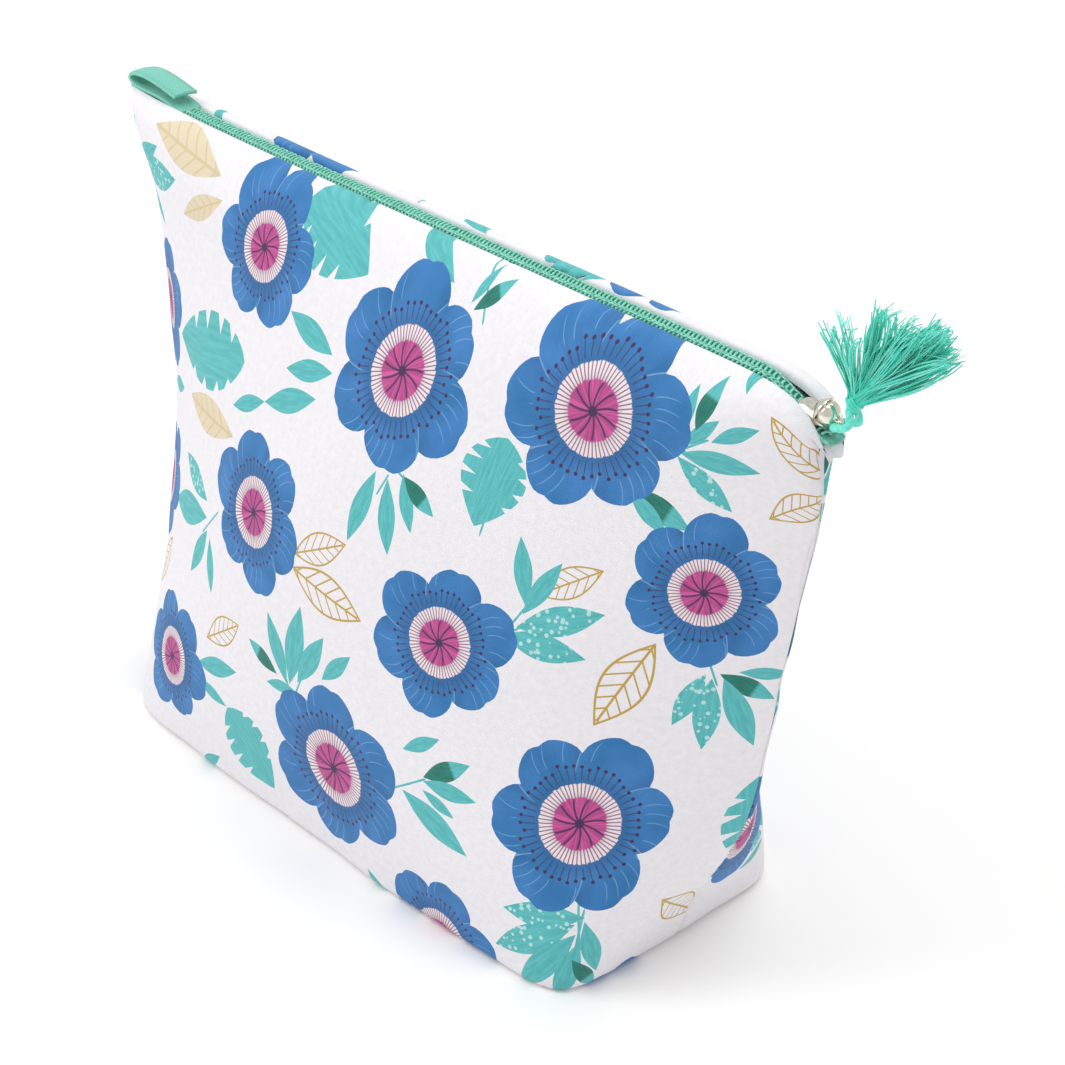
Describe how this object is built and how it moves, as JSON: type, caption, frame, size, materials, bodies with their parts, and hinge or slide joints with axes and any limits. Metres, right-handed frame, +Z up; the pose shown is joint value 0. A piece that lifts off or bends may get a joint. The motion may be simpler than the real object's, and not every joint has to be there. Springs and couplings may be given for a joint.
{
  "type": "makeup bag",
  "caption": "Padded cotton makeup bag with a boxed flat base, a zip along its mouth and a thread tassel on the slider.",
  "frame": {"origin": "middle of the underside, where the bag rests", "axes": "+X along the zip towards its closed end, where the slider rests; -Y out of the front wall; +Z up"},
  "size_m": [0.2665, 0.088, 0.1811],
  "materials": {
    "white_cotton": "plain woven cotton, printed with flowers and leaves",
    "fleece": "felted padding",
    "lining_cotton": "plain woven",
    "zip_tape": "twill tape",
    "zip_coil": "satin nylon coil",
    "thread": "sewing thread",
    "polished_metal": "polished",
    "tassel_yarn": "glossy yarn"
  },
  "bodies": {
    "base": {"base_outer": "white_cotton", "base_padding": "fleece", "base_lining": "lining_cotton", "corner_seam_left": "white_cotton", "corner_seam_right": "white_cotton", "side_seam_left": "white_cotton", "side_seam_right": "white_cotton", "bottom_stop": "polished_metal", "zip_end_tab": "zip_tape"},
    "front_wall": {"outer_front": "white_cotton", "padding_front": "fleece", "lining_front": "lining_cotton", "zip_tape_front": "zip_tape", "zip_coil_front": "zip_coil", "coil_stitching_front": "thread"},
    "back_wall": {"outer_back": "white_cotton", "padding_back": "fleece", "lining_back": "lining_cotton", "zip_tape_back": "zip_tape", "zip_coil_back": "zip_coil", "coil_stitching_back": "thread"},
    "slider": {"slider_body": "polished_metal", "slider_ball": "polished_metal"},
    "pull_loop": {"tassel_loop": "tassel_yarn"},
    "tassel": {"tassel_binding": "tassel_yarn", "tassel_threads": "tassel_yarn"}
  },
  "joints": [
    {"name": "slider_slide", "type": "slide", "parent": "base", "child": "slider", "axis": [-0.9996, 0, 0.0297], "range_m": [0, 0.206]},
    {"name": "front_wall_hinge", "type": "hinge", "parent": "base", "child": "front_wall", "pos_m": [0, -0.041, 0.0013], "axis": [1, 0, 0], "range_deg": [0, 13]},
    {"name": "back_wall_hinge", "type": "hinge", "parent": "base", "child": "back_wall", "pos_m": [0, 0.041, 0.0013], "axis": [-1, 0, 0], "range_deg": [0, 13]},
    {"name": "pull_hinge", "type": "hinge", "parent": "slider", "child": "pull_loop", "pos_m": [0.11714, 0, 0.15091], "axis": [0, 1, 0], "range_deg": [-15, 35]},
    {"name": "tassel_hinge", "type": "hinge", "parent": "pull_loop", "child": "tassel", "pos_m": [0.11994, 0, 0.15671], "axis": [0, 1, 0], "range_deg": [-25, 25]}
  ],
  "couplings": [
    {"joint": "front_wall_hinge", "follows": "slider_slide", "rad_per_m": 1.1014},
    {"joint": "back_wall_hinge", "follows": "slider_slide", "rad_per_m": 1.1014}
  ]
}
